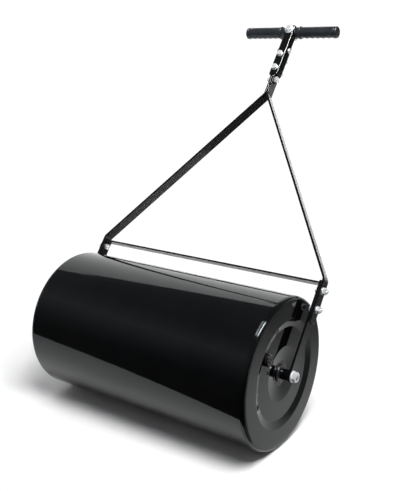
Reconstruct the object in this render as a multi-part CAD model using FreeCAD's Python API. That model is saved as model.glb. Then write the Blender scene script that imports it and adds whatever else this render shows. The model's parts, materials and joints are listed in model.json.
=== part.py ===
"""Walk-behind lawn roller: a ballast drum on a through axle, moved by a flat-steel frame with a T-handle.

Millimetres, +Z up. X runs along the axle, with the filler plug at the +X end.
The handle leans back towards +Y.
The origin is on the ground, straight below the middle of the axle.
Every node is written to parts/NODE.step.
"""
import os
from math import cos, hypot, pi, sin, tan

import FreeCAD
import Part

V = FreeCAD.Vector
ORIGIN = V(0, 0, 0)
X = V(1, 0, 0)
Y = V(0, 1, 0)

# ---- drum ----
DRUM_R = 160.0            # outside radius of the rolling surface
SHEET = 1.6               # shell and end disc sheet
SHELL_HALF = 275.5        # half length of the rolled shell
HEM_LENGTH = 9.0          # folded-in edge of the shell
HEM_SHEET = 2.6           # the fold, its inner layer thinned by rolling
SHELL_EDGE_R = 2.5        # rounding of the folded edge
FACE_X = 281.0            # outer face of the end disc's flat rim
SKIRT_R = DRUM_R - HEM_SHEET
SKIRT_X = 263.0           # where the end disc's skirt ends inside the shell
SHOULDER_R = 5.0          # pressed shoulder between skirt and rim
RIM_IN_R = 114.0          # flat rim ends here
PANEL_R = 98.0            # inner panel starts here
PANEL_X = 275.5
DISH_R = 58.0             # central dish starts here
DISH_IN_R = 27.0
DISH_X = 270.0
PRESS_R = 3.0             # bend radius of the pressed steps

# ---- axle and bearings ----
AXLE_R = 8.0
AXLE_END_R = 6.0          # threaded ends, M12
AXLE_HALF = 311.0
TUBE_R = 17.0             # tube that keeps the ballast off the axle
TUBE_WALL = 2.5
TUBE_HALF = 272.0
BUSH_LENGTH = 24.0
BUSH_FLANGE_R = 18.5
BUSH_FLANGE = 3.0
RUNNING = 0.06            # radial clearance of a running fit
SPACER_R = 11.0
SPACER_GAP = 0.4          # side play between bush flange and spacer

# ---- filler ----
FILLER_Y = -62.0          # from the axle
FILLER_Z = 53.5
NECK_R = 15.0
NECK_BORE_R = 11.0
NECK_IN_X = 268.0
NECK_OUT_X = 277.2
SEAL = 1.2
SEAL_R = 12.6
PLUG_HEAD_R = 13.5
PLUG_HEAD = 5.5
PLUG_SPIGOT = 5.0
PLUG_GRIPS = 12           # flutes round the plug's head
FLUTE_R = 1.3
KEY_LENGTH = 17.0         # raised bar across the head, to turn it by
KEY_WIDTH = 5.0
KEY_HEIGHT = 2.0

# ---- frame, measured up its own slope from the axle ----
TILT = 37.5               # lean of the frame from upright, in degrees
STRIP = 25.0              # flat steel, wide way
STRIP_T = 5.0
ARM_IN_X = 294.5          # inner face of the lower arms
ARM_OUT_X = ARM_IN_X + STRIP_T
ARM_TOP = 207.0
CROSSBAR_AT = 202.0
CROSSBAR_T = 4.0
CROSSBAR_W = 20.0
WELD = 3.0
OVERLAP_BOTTOM = 116.0    # lower end of the upper bars
KNEE_AT = 212.5           # where the upper bars turn inwards
APEX_AT = 653.0           # where they meet
COLUMN_X = 2.6            # middle of each strip where they run side by side
SPREAD_FROM = 709.0       # the strips part again inside the bracket
SPREAD_TO = 720.0
SPREAD_X = 6.9
BAR_TOP = 804.0
BEND_R = 14.0
ARM_BOLTS_AT = (145.5, 187.0)

# ---- handle ----
BRACKET_W = 24.0          # U-channel, open at the back
BRACKET_T = 2.5
BRACKET_BOTTOM = 710.0
BRACKET_FRONT = -STRIP / 2 - BRACKET_T
BRACKET_BEND_R = 3.5
BRACKET_BACK = 6.0
HANDLE_AT = 843.0
HANDLE_R = 11.0
HANDLE_WALL = 2.0
HANDLE_HALF = 118.0
HANDLE_N = BRACKET_FRONT + BRACKET_T + HANDLE_R
BRACKET_TOP_R = HANDLE_R + BRACKET_T
FRONT_BOLTS_AT = (728.0, 768.5)
SIDE_BOLT_AT = 788.0
SIDE_HEAD_R = 6.6         # low round head of the cross bolt
SIDE_HEAD = 3.0
COLUMN_BOLT_AT = 700.0
SADDLE = 20.0             # block behind the handle tube, measured up the slope
SADDLE_W = 18.0
SADDLE_T = 6.0
SADDLE_BACK = HANDLE_N + HANDLE_R + SADDLE_T / 2

# ---- grips ----
GRIP_IN = 14.0            # smooth neck, up to the bracket
GRIP_NECK_R = 13.8
GRIP_OUT = 128.5
GRIP_R = 14.3
GRIP_COLLAR_IN = 25.0
GRIP_COLLAR_R = 15.8
GRIP_COLLAR = 4.0
GRIP_COLLAR_EDGE_R = 1.5
GRIP_END_R = 4.0          # rounding of the closed end
FINGERS = 6
FINGER_PITCH = 15.0
FINGER_R = 11.0
FINGER_DEPTH = 2.2
FINGER_FIRST = 38.0

# ---- fasteners: (shank radius, width across flats, head height, nut height) ----
M8 = (4.0, 13.0, 5.3, 6.8)
M10 = (5.0, 16.0, 6.4, 8.0)
M12 = (6.0, 19.0, 7.5, 9.0)
BOLT_PLAY = 0.3           # shank to hole

# ---- washers: (outside radius, thickness) ----
WASHER_M8 = (8.0, 1.6)
WASHER_AXLE = (12.0, 2.0)
WASHER_HANDLE = (12.0, 3.0)
THREAD_END = 2.0          # thread that stands out of a nut
ARM_NUT_X = ARM_OUT_X + STRIP_T + WASHER_M8[1]
FRONT_NUT_N = STRIP / 2 + WASHER_M8[1]


def drum_place(shape):
    """From axle coordinates to the part's frame, for what turns with the drum."""
    return shape.translated(V(0, 0, DRUM_R))


def frame_place(shape):
    """From the frame's own upright coordinates, with Z up the slope from the axle, to the part's frame."""
    leaning = shape.copy()
    leaning.rotate(ORIGIN, X, -TILT)
    return leaning.translated(V(0, 0, DRUM_R))


def mirrored(shape):
    return shape.mirror(ORIGIN, X)


def both_sides(shape):
    return Part.makeCompound([shape, mirrored(shape)])


def rod(radius, start, end, direction=X):
    """A round bar between two distances along an axis through the origin."""
    return Part.makeCylinder(radius, end - start, direction * start, direction)


def ring(outer, inner, start, end, direction=X):
    return rod(outer, start, end, direction).cut(rod(inner, start - 1, end + 1, direction))


def revolved(edges):
    """A solid of revolution about X from a closed profile in the XZ plane."""
    return Part.Face(Part.Wire(edges)).revolve(ORIGIN, X, 360)


def circle_edges_at(shape, x, radius, reach=0.05):
    """The edges of a shape that are whole circles about X at this place and radius."""
    found = []
    for edge in shape.Edges:
        curve = edge.Curve
        if not isinstance(curve, Part.Circle) or abs(curve.Radius - radius) > reach:
            continue
        if abs(curve.Center.x - x) < reach and hypot(curve.Center.y, curve.Center.z) < reach:
            found.append(edge)
    return found


def hexagon(across_flats, start, end, direction):
    """A hex prism with its corners rounded off on both faces, about an axis through the origin."""
    corner = across_flats / 2 / cos(pi / 6)
    side = V(0, 0, 1) if abs(direction.z) < 0.5 else V(1, 0, 0)
    points = []
    for n in range(7):
        turn = FreeCAD.Rotation(direction, 60 * n)
        points.append(turn.multVec(side) * corner + direction * start)
    prism = Part.Face(Part.makePolygon(points)).extrude(direction * (end - start))
    lift = corner - across_flats / 2
    middle = direction * ((start + end) / 2)
    half = (end - start) / 2
    round_off = Part.makeCone(corner + half / 2, across_flats / 2 - lift / 4, half, middle, direction)
    round_back = Part.makeCone(corner + half / 2, across_flats / 2 - lift / 4, half, middle, -direction)
    return prism.common(round_off.fuse(round_back)).removeSplitter()


def hex_nut(size, start, direction=X):
    """A nut whose near face is at a distance along the direction."""
    shank, flats, _, height = size
    bore = rod(shank, start - 1, start + height + 1, direction)
    return hexagon(flats, start, start + height, direction).cut(bore)


def washer(kind, size, start, direction=X):
    """A washer of one kind for a bolt of one size, from a distance along the direction."""
    outer, thickness = kind
    return ring(outer, size[0] + BOLT_PLAY, start, start + thickness, direction)


def hex_bolt(size, head_at, end, direction=X):
    """A bolt with the underside of its head at head_at and its shank going along the direction to end."""
    shank, flats, head, _ = size
    body = rod(shank, head_at - 0.5, end, direction)
    point = Part.makeCone(shank, shank - 1, 1, direction * end, direction)
    return hexagon(flats, head_at - head, head_at, direction).fuse([body, point]).removeSplitter()


# ---------------------------------------------------------------- drum

def drum_shell():
    outer = rod(DRUM_R, -SHELL_HALF, SHELL_HALF)
    bore = rod(DRUM_R - SHEET, -SHELL_HALF + HEM_LENGTH, SHELL_HALF - HEM_LENGTH)
    mouth = rod(DRUM_R - HEM_SHEET, -SHELL_HALF - 1, SHELL_HALF + 1)
    shell = outer.cut(bore.fuse(mouth))
    rims = circle_edges_at(shell, SHELL_HALF, DRUM_R) + circle_edges_at(shell, -SHELL_HALF, DRUM_R)
    return drum_place(shell.makeFillet(SHELL_EDGE_R, rims))


def disc_profile(shift, skirt_r, shoulder_r):
    """Corner points of one surface of the end disc, from shoulder to centre, moved inwards by shift."""
    return [
        (FACE_X - shift, skirt_r - shoulder_r),
        (FACE_X - shift, RIM_IN_R),
        (PANEL_X - shift, PANEL_R),
        (PANEL_X - shift, DISH_R),
        (DISH_X - shift, DISH_IN_R),
        (DISH_X - shift, TUBE_R),
    ]


def shoulder_arc(centre, radius):
    """Quarter round from the skirt to the flat rim."""
    points = []
    for turn in (0, pi / 4, pi / 2):
        points.append(V(centre[0] + radius * sin(turn), 0, centre[1] + radius * cos(turn)))
    return Part.Arc(*points).toShape()


def plain_end_disc():
    """Pressed steel disc of the +X end: skirt, rounded shoulder, flat rim, conical step, panel and dish."""
    outside = disc_profile(0, SKIRT_R, SHOULDER_R)
    inside = disc_profile(SHEET, SKIRT_R - SHEET, SHOULDER_R - SHEET)
    path = outside + inside[::-1]
    edges = [Part.makeLine(V(a[0], 0, a[1]), V(b[0], 0, b[1])) for a, b in zip(path, path[1:])]
    centre = (FACE_X - SHOULDER_R, SKIRT_R - SHOULDER_R)
    skirt_in = SKIRT_R - SHEET
    edges += [
        shoulder_arc(centre, SHOULDER_R - SHEET),
        Part.makeLine(V(centre[0], 0, skirt_in), V(SKIRT_X, 0, skirt_in)),
        Part.makeLine(V(SKIRT_X, 0, skirt_in), V(SKIRT_X, 0, SKIRT_R)),
        Part.makeLine(V(SKIRT_X, 0, SKIRT_R), V(centre[0], 0, SKIRT_R)),
        shoulder_arc(centre, SHOULDER_R),
    ]
    disc = revolved(Part.__sortEdges__(edges))
    bends = []
    for x, radius in outside[1:4]:
        bends += circle_edges_at(disc, x, radius)
        bends += circle_edges_at(disc, x - SHEET, radius)
    return disc.makeFillet(PRESS_R, bends)


def end_disc_left():
    return drum_place(mirrored(plain_end_disc()))


def end_disc_right():
    hole = rod(NECK_R, PANEL_X - 5, PANEL_X + 5).translated(V(0, FILLER_Y, FILLER_Z))
    return drum_place(plain_end_disc().cut(hole))


def axle_tube():
    return drum_place(ring(TUBE_R, TUBE_R - TUBE_WALL, -TUBE_HALF, TUBE_HALF))


def bush():
    """Flanged plastic bearing pushed into the +X end of the axle tube."""
    sleeve = rod(TUBE_R - TUBE_WALL, TUBE_HALF - BUSH_LENGTH, TUBE_HALF + 0.5)
    flange = rod(BUSH_FLANGE_R, TUBE_HALF, TUBE_HALF + BUSH_FLANGE)
    flange = flange.makeFillet(1, circle_edges_at(flange, TUBE_HALF + BUSH_FLANGE, BUSH_FLANGE_R))
    bore = rod(AXLE_R + RUNNING, TUBE_HALF - BUSH_LENGTH - 1, TUBE_HALF + BUSH_FLANGE + 1)
    return sleeve.fuse(flange).cut(bore).removeSplitter()


def bush_right():
    return drum_place(bush())


def bush_left():
    return drum_place(mirrored(bush()))


# ---------------------------------------------------------------- filler

def filler_place(shape):
    return drum_place(shape.translated(V(0, FILLER_Y, FILLER_Z)))


def filler_neck():
    """Threaded ring welded into the end disc."""
    neck = ring(NECK_R, NECK_BORE_R, NECK_IN_X, NECK_OUT_X)
    return filler_place(neck.makeChamfer(0.8, circle_edges_at(neck, NECK_OUT_X, NECK_R)))


def filler_seal():
    start = NECK_OUT_X + 0.3
    return filler_place(ring(SEAL_R, NECK_BORE_R, start, start + SEAL))


def filler_plug():
    """Screw plug with a fluted head and a raised bar to turn it by."""
    under = NECK_OUT_X + 0.3 + SEAL
    top = under + PLUG_HEAD
    head = rod(PLUG_HEAD_R, under, top)
    head = head.makeFillet(1.5, circle_edges_at(head, top, PLUG_HEAD_R))
    flute = rod(FLUTE_R, under - 1, top + 1).translated(V(0, PLUG_HEAD_R + FLUTE_R / 3, 0))
    flutes = []
    for n in range(PLUG_GRIPS):
        turned = flute.copy()
        turned.rotate(ORIGIN, X, 360 * n / PLUG_GRIPS)
        flutes.append(turned)
    head = head.cut(flutes)
    spigot = rod(NECK_BORE_R - RUNNING, under - PLUG_SPIGOT, under + 0.5)
    key = Part.makeBox(KEY_HEIGHT + 0.5, KEY_LENGTH, KEY_WIDTH, V(top - 0.5, -KEY_LENGTH / 2, -KEY_WIDTH / 2))
    return filler_place(head.fuse([spigot, key]).removeSplitter())


# ---------------------------------------------------------------- axle, spacers and nuts

def axle_rod():
    """Through axle with a threaded end beyond each arm."""
    middle = rod(AXLE_R, -ARM_IN_X, ARM_IN_X)
    ends = rod(AXLE_END_R, -AXLE_HALF, AXLE_HALF)
    point = Part.makeCone(AXLE_END_R, AXLE_END_R - 1, 1, X * AXLE_HALF, X)
    return frame_place(middle.fuse([ends, point, mirrored(point)]).removeSplitter())


def axle_spacer():
    """Tube that holds the drum away from the +X arm."""
    return ring(SPACER_R, AXLE_R + 0.2, TUBE_HALF + BUSH_FLANGE + SPACER_GAP, ARM_IN_X)


def axle_spacer_right():
    return frame_place(axle_spacer())


def axle_spacer_left():
    return frame_place(mirrored(axle_spacer()))


def axle_washers():
    return frame_place(both_sides(washer(WASHER_AXLE, M12, ARM_OUT_X)))


def axle_nuts():
    return frame_place(both_sides(hex_nut(M12, ARM_OUT_X + WASHER_AXLE[1])))


# ---------------------------------------------------------------- frame

def turn_at(path, n, radius):
    """Tangent points, middle and centre of the bend at one corner of a path in the XZ plane."""
    before = (path[n] - path[n - 1]).normalize()
    after = (path[n + 1] - path[n]).normalize()
    angle = before.getAngle(after)
    reach = radius * tan(angle / 2)
    start = path[n] - before * reach
    end = path[n] + after * reach
    inward = (after - before).normalize()
    centre = path[n] + inward * (radius / cos(angle / 2))
    return start, centre - inward * radius, end, centre


def side_of(path, radius, offset):
    """Edges of one long side of a bent strip: the path moved sideways by offset, with round bends."""
    across = (path[1] - path[0]).normalize().cross(Y)
    at = path[0] + across * offset
    edges = []
    for n in range(1, len(path) - 1):
        start, middle, end, centre = turn_at(path, n, radius)
        side = (path[n] - path[n - 1]).normalize().cross(Y)
        inside = (centre - start).dot(side) > 0
        scale = (radius - offset) / radius if inside else (radius + offset) / radius
        arc = [centre + (point - centre) * scale for point in (start, middle, end)]
        edges.append(Part.makeLine(at, arc[0]))
        edges.append(Part.Arc(*arc).toShape())
        at = arc[2]
    across = (path[-1] - path[-2]).normalize().cross(Y)
    edges.append(Part.makeLine(at, path[-1] + across * offset))
    return edges


def bent_strip(points, thickness, width, radius):
    """Flat steel standing on edge, bent along a path of (x, z) points."""
    path = [V(x, -width / 2, z) for x, z in points]
    sides = [side_of(path, radius, offset) for offset in (-thickness / 2, thickness / 2)]
    ends = []
    for n in (0, -1):
        ends.append(Part.makeLine(sides[0][n].Vertexes[n].Point, sides[1][n].Vertexes[n].Point))
    outline = Part.Wire(Part.__sortEdges__(sides[0] + sides[1] + ends))
    return Part.Face(outline).extrude(Y * width)


def holes_along_x(size, heights, n=0.0):
    reach = ARM_OUT_X + 50
    holes = []
    for height in heights:
        holes.append(rod(size[0] + BOLT_PLAY, -reach, reach).translated(V(0, n, height)))
    return holes


def lower_arm():
    """Straight strip of the +X side, from the axle to the crossbar."""
    strip = Part.makeBox(STRIP_T, STRIP, ARM_TOP, V(ARM_IN_X, -STRIP / 2, 0))
    eye = rod(STRIP / 2, ARM_IN_X, ARM_OUT_X)
    axle_hole = rod(AXLE_END_R + BOLT_PLAY, ARM_IN_X - 1, ARM_OUT_X + 1)
    return strip.fuse(eye).removeSplitter().cut([axle_hole] + holes_along_x(M8, ARM_BOLTS_AT))


def lower_arm_right():
    return frame_place(lower_arm())


def lower_arm_left():
    return frame_place(mirrored(lower_arm()))


def upper_bar():
    """Strip of the +X side: bolted outside the lower arm, bent in to the apex, then up into the bracket."""
    outer_x = ARM_OUT_X + STRIP_T / 2
    path = [
        (outer_x, OVERLAP_BOTTOM),
        (outer_x, KNEE_AT),
        (COLUMN_X, APEX_AT),
        (COLUMN_X, SPREAD_FROM),
        (SPREAD_X, SPREAD_TO),
        (SPREAD_X, BAR_TOP),
    ]
    strip = bent_strip(path, STRIP_T, STRIP, BEND_R)
    holes = holes_along_x(M8, ARM_BOLTS_AT + (SIDE_BOLT_AT,))
    return strip.cut(holes + holes_along_x(M10, [COLUMN_BOLT_AT]))


def upper_bar_right():
    return frame_place(upper_bar())


def upper_bar_left():
    return frame_place(mirrored(upper_bar()))


def crossbar():
    """Flat tie bar between the tops of the lower arms."""
    half = CROSSBAR_T / 2
    low = V(-ARM_IN_X, -CROSSBAR_W / 2, CROSSBAR_AT - half)
    bar = Part.makeBox(2 * ARM_IN_X, CROSSBAR_W, CROSSBAR_T, low)
    return frame_place(bar)


def crossbar_welds():
    """Fillet welds under the crossbar's ends, at the lower arms."""
    under = CROSSBAR_AT - CROSSBAR_T / 2
    corners = [V(ARM_IN_X, 0, under), V(ARM_IN_X - WELD, 0, under), V(ARM_IN_X, 0, under - WELD)]
    section = Part.Face(Part.makePolygon(corners + corners[:1]))
    bead = section.extrude(Y * (CROSSBAR_W - 2)).translated(V(0, 1 - CROSSBAR_W / 2, 0))
    return frame_place(both_sides(bead))


def arm_bolts():
    bolts = []
    end = ARM_NUT_X + M8[3] + THREAD_END
    for height in ARM_BOLTS_AT:
        bolts.append(hex_bolt(M8, ARM_IN_X, end).translated(V(0, 0, height)))
    return frame_place(both_sides(Part.makeCompound(bolts)))


def arm_washers():
    rings = []
    for height in ARM_BOLTS_AT:
        rings.append(washer(WASHER_M8, M8, ARM_OUT_X + STRIP_T).translated(V(0, 0, height)))
    return frame_place(both_sides(Part.makeCompound(rings)))


def arm_nuts():
    nuts = []
    for height in ARM_BOLTS_AT:
        nuts.append(hex_nut(M8, ARM_NUT_X).translated(V(0, 0, height)))
    return frame_place(both_sides(Part.makeCompound(nuts)))


# ---------------------------------------------------------------- handle bracket

def handle_bracket():
    """Pressed U-channel with its web at the front. Its flanges are rounded about the handle tube."""
    depth = BRACKET_BACK - BRACKET_FRONT
    height = HANDLE_AT - BRACKET_BOTTOM
    half = BRACKET_W / 2
    inner = half - BRACKET_T
    block = Part.makeBox(BRACKET_W, depth, height, V(-half, BRACKET_FRONT, BRACKET_BOTTOM))
    top = rod(BRACKET_TOP_R, -half, half).translated(V(0, HANDLE_N, HANDLE_AT))
    corner_low = V(-half, BRACKET_FRONT, HANDLE_AT)
    corner = Part.makeBox(BRACKET_W, HANDLE_N - BRACKET_FRONT, BRACKET_TOP_R, corner_low)
    block = block.fuse([top, corner]).removeSplitter()
    front_edges = []
    for edge in block.Edges:
        box = edge.BoundBox
        upright = box.XLength < 0.01 and box.YLength < 0.01 and box.ZLength > 20
        if upright and abs(box.YMin - BRACKET_FRONT) < 0.01:
            front_edges.append(edge)
    block = block.makeFillet(BRACKET_BEND_R, front_edges)
    room_height = height + 3 * BRACKET_TOP_R
    room_low = V(-inner, BRACKET_FRONT + BRACKET_T, BRACKET_BOTTOM - BRACKET_TOP_R)
    room = Part.makeBox(2 * inner, depth + BRACKET_TOP_R, room_height, room_low)
    handle_hole = rod(HANDLE_R + 0.1, -half - 1, half + 1).translated(V(0, HANDLE_N, HANDLE_AT))
    cuts = [room, handle_hole] + holes_along_x(M8, [SIDE_BOLT_AT])
    for size, height_up in ((M8, FRONT_BOLTS_AT[0]), (M8, FRONT_BOLTS_AT[1]), (M10, HANDLE_AT)):
        hole = rod(size[0] + BOLT_PLAY, BRACKET_FRONT - 1, BRACKET_FRONT + BRACKET_T + 1, Y)
        cuts.append(hole.translated(V(0, 0, height_up)))
    return frame_place(block.cut(cuts))


def front_bolts():
    bolts = []
    head_at = BRACKET_FRONT - WASHER_M8[1]
    end = FRONT_NUT_N + M8[3] + THREAD_END
    for height in FRONT_BOLTS_AT:
        bolts.append(hex_bolt(M8, head_at, end, Y).translated(V(0, 0, height)))
    return frame_place(Part.makeCompound(bolts))


def front_washers():
    rings = []
    for height in FRONT_BOLTS_AT:
        for start in (BRACKET_FRONT - WASHER_M8[1], FRONT_NUT_N - WASHER_M8[1]):
            rings.append(washer(WASHER_M8, M8, start, Y).translated(V(0, 0, height)))
    return frame_place(Part.makeCompound(rings))


def front_nuts():
    nuts = []
    for height in FRONT_BOLTS_AT:
        nuts.append(hex_nut(M8, FRONT_NUT_N, Y).translated(V(0, 0, height)))
    return frame_place(Part.makeCompound(nuts))


def side_bolt():
    """Cross bolt through the bracket's flanges and both strips, with a low round head on the +X side."""
    half = BRACKET_W / 2
    head = rod(SIDE_HEAD_R, half, half + SIDE_HEAD)
    head = head.makeFillet(SIDE_HEAD / 2, circle_edges_at(head, half + SIDE_HEAD, SIDE_HEAD_R))
    shank = rod(M8[0], -half - WASHER_M8[1] - M8[3] - THREAD_END, half + 0.5)
    return frame_place(head.fuse(shank).removeSplitter().translated(V(0, 0, SIDE_BOLT_AT)))


def side_washer():
    outer = mirrored(washer(WASHER_M8, M8, BRACKET_W / 2))
    return frame_place(outer.translated(V(0, 0, SIDE_BOLT_AT)))


def side_nut():
    nut = mirrored(hex_nut(M8, BRACKET_W / 2 + WASHER_M8[1]))
    return frame_place(nut.translated(V(0, 0, SIDE_BOLT_AT)))


def column_bolt():
    """Cross bolt that clamps the two strips together just below the bracket, head on the +X side."""
    half = COLUMN_X + STRIP_T / 2
    bolt = mirrored(hex_bolt(M10, -half, half + M10[3] + THREAD_END))
    return frame_place(bolt.translated(V(0, 0, COLUMN_BOLT_AT)))


def column_nut():
    nut = mirrored(hex_nut(M10, COLUMN_X + STRIP_T / 2))
    return frame_place(nut.translated(V(0, 0, COLUMN_BOLT_AT)))


# ---------------------------------------------------------------- T-handle

def handle_tube():
    tube = ring(HANDLE_R, HANDLE_R - HANDLE_WALL, -HANDLE_HALF, HANDLE_HALF)
    tube = tube.translated(V(0, HANDLE_N, HANDLE_AT))
    reach = HANDLE_R + 1
    hole = rod(M10[0] + BOLT_PLAY, HANDLE_N - reach, HANDLE_N + reach, Y).translated(V(0, 0, HANDLE_AT))
    return frame_place(tube.cut(hole))


def handle_saddle():
    """Hollow-backed block between the handle tube and its nut."""
    low = V(-SADDLE_W / 2, SADDLE_BACK - SADDLE_T, HANDLE_AT - SADDLE / 2)
    block = Part.makeBox(SADDLE_W, SADDLE_T, SADDLE, low)
    tube = rod(HANDLE_R, -SADDLE, SADDLE).translated(V(0, HANDLE_N, HANDLE_AT))
    hole = rod(M10[0] + BOLT_PLAY, 0, SADDLE_BACK + 1, Y).translated(V(0, 0, HANDLE_AT))
    return frame_place(block.cut([tube, hole]))


def handle_bolt():
    nut_at = SADDLE_BACK + WASHER_M8[1]
    bolt = hex_bolt(M10, BRACKET_FRONT - WASHER_HANDLE[1], nut_at + M10[3] + THREAD_END, Y)
    return frame_place(bolt.translated(V(0, 0, HANDLE_AT)))


def handle_washers():
    """Large washer under the bolt's head and a small one under its nut."""
    large = washer(WASHER_HANDLE, M10, BRACKET_FRONT - WASHER_HANDLE[1], Y)
    small = washer(WASHER_M8, M10, SADDLE_BACK, Y)
    return frame_place(Part.makeCompound([large, small]).translated(V(0, 0, HANDLE_AT)))


def handle_nut():
    return frame_place(hex_nut(M10, SADDLE_BACK + WASHER_M8[1], Y).translated(V(0, 0, HANDLE_AT)))


def grip():
    """Moulded grip of the +X side: neck, collar, body with finger hollows below, closed round end."""
    collar_end = GRIP_COLLAR_IN + GRIP_COLLAR
    neck = rod(GRIP_NECK_R, GRIP_IN, GRIP_COLLAR_IN + 1)
    body = rod(GRIP_R, GRIP_COLLAR_IN, GRIP_OUT)
    body = body.makeFillet(GRIP_END_R, circle_edges_at(body, GRIP_OUT, GRIP_R))
    collar = rod(GRIP_COLLAR_R, GRIP_COLLAR_IN, collar_end)
    rims = circle_edges_at(collar, GRIP_COLLAR_IN, GRIP_COLLAR_R)
    rims += circle_edges_at(collar, collar_end, GRIP_COLLAR_R)
    collar = collar.makeFillet(GRIP_COLLAR_EDGE_R, rims)
    hollows = []
    for n in range(FINGERS):
        at = FINGER_FIRST + FINGER_PITCH * n
        centre_z = -GRIP_R - FINGER_R + FINGER_DEPTH
        cutter = Part.makeCylinder(FINGER_R, 4 * GRIP_R, V(at, -2 * GRIP_R, centre_z), Y)
        cutter.rotate(ORIGIN, X, TILT)
        hollows.append(cutter)
    body = body.cut(hollows).fuse([neck, collar])
    body = body.cut(rod(HANDLE_R, GRIP_IN - 1, HANDLE_HALF))
    return body.removeSplitter().translated(V(0, HANDLE_N, HANDLE_AT))


def grip_right():
    return frame_place(grip())


def grip_left():
    return frame_place(mirrored(grip()))


NODES = [
    drum_shell, end_disc_left, end_disc_right, axle_tube, bush_left, bush_right,
    filler_neck, filler_seal, filler_plug,
    axle_rod, axle_spacer_left, axle_spacer_right, axle_washers, axle_nuts,
    lower_arm_left, lower_arm_right, upper_bar_left, upper_bar_right, crossbar, crossbar_welds,
    arm_bolts, arm_washers, arm_nuts,
    handle_bracket, front_bolts, front_washers, front_nuts,
    side_bolt, side_washer, side_nut, column_bolt, column_nut,
    handle_tube, handle_saddle, handle_bolt, handle_washers, handle_nut, grip_left, grip_right,
]

os.makedirs("parts", exist_ok=True)
for make in NODES:
    make().exportStep("parts/" + make.__name__ + ".step")
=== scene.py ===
"""Looks for the lawn roller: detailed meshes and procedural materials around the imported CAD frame.

Shapes are built in millimetres, in axle coordinates (the drum) or in the frame's own upright
coordinates (Z up the slope from the axle), and are placed by DRUM or SLOPE, which also turn
millimetres into metres.
"""
import json
from math import asin, atan2, ceil, cos, exp, hypot, log, pi, radians, sin, tan, tau

import bmesh
import bpy
from mathutils import Matrix, Vector, noise

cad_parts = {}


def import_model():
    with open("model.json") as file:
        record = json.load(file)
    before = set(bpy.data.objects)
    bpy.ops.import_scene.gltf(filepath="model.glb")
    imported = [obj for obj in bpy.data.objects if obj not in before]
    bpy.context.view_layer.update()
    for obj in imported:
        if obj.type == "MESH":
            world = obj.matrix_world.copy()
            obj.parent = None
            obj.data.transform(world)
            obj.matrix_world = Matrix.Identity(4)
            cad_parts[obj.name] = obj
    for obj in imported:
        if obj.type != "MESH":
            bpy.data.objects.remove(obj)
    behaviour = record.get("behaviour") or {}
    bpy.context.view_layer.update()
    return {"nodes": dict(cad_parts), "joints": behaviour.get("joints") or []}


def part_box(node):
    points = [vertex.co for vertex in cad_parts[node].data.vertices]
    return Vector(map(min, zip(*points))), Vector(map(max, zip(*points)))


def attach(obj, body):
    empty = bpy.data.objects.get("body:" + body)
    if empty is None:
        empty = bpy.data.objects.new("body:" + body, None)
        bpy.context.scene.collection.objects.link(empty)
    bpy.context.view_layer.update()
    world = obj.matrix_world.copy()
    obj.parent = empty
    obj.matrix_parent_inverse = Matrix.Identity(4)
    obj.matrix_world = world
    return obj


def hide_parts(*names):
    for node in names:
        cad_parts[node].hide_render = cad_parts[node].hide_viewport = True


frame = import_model()

MM = 0.001
HANDLE_OFFSET = -1.5          # the handle tube's middle, in front of the frame's middle plane

# ---- places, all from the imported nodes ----
DRUM_HINGE = next(j for j in frame["joints"] if j["name"] == "drum_spin")
AXLE = Vector(DRUM_HINGE["pos_m"])
DRUM = Matrix.Translation(AXLE) @ Matrix.Scale(MM, 4)


def middle(node):
    """Middle of a CAD node, in metres."""
    low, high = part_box(node)
    return (low + high) / 2


def lean():
    """Angle of the frame from upright, from where the handle tube is."""
    away = (middle("handle_tube") - AXLE) / MM
    return atan2(away.y, away.z) - asin(HANDLE_OFFSET / hypot(away.y, away.z))


SLOPE = Matrix.Translation(AXLE) @ Matrix.Rotation(-lean(), 4, "X") @ Matrix.Scale(MM, 4)


def extent(node, place):
    """Lowest and highest corner of a CAD node in millimetres, in the coordinates that place comes from."""
    back = place.inverted()
    points = [back @ v.co for v in frame["nodes"][node].data.vertices]
    low = Vector([min(p[n] for p in points) for n in range(3)])
    high = Vector([max(p[n] for p in points) for n in range(3)])
    return low, high


def levels(node, gap=6.0):
    """Middle heights up the slope of the separate solids of a node."""
    back = SLOPE.inverted()
    heights = sorted((back @ v.co).z for v in frame["nodes"][node].data.vertices)
    groups = [[heights[0]]]
    for height in heights[1:]:
        if height - groups[-1][-1] > gap:
            groups.append([])
        groups[-1].append(height)
    return [(group[0] + group[-1]) / 2 for group in groups]


# ---------------------------------------------------------------- mesh tools

class Shape:
    """Points and faces that pieces are put together from."""

    def __init__(self):
        self.points = []
        self.faces = []

    def add(self, points, faces, place=Matrix.Identity(4)):
        start = len(self.points)
        self.points += [place @ Vector(p) for p in points]
        self.faces += [[start + n for n in face] for face in faces]
        return self

    def put(self, other, place=Matrix.Identity(4)):
        return self.add(other.points, other.faces, place)


def make_piece(name, shape, place, body, material, nodes=(), sharp=40, weighted=True):
    """Turns a shape into a Blender object that rides on a body and stands for CAD nodes."""
    mesh = bpy.data.meshes.new(name)
    mesh.from_pydata([place @ p for p in shape.points], [], shape.faces)
    work = bmesh.new()
    work.from_mesh(mesh)
    bmesh.ops.remove_doubles(work, verts=work.verts, dist=1e-7)
    bmesh.ops.recalc_face_normals(work, faces=work.faces)
    work.to_mesh(mesh)
    work.free()
    mesh.shade_smooth()
    mesh.set_sharp_from_angle(angle=radians(sharp))
    mesh.materials.append(material)
    obj = bpy.data.objects.new(name, mesh)
    bpy.context.scene.collection.objects.link(obj)
    if weighted:
        even = obj.modifiers.new("even_normals", "WEIGHTED_NORMAL")
        even.keep_sharp = True
    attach(obj, body)
    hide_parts(*nodes)
    return obj


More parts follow.
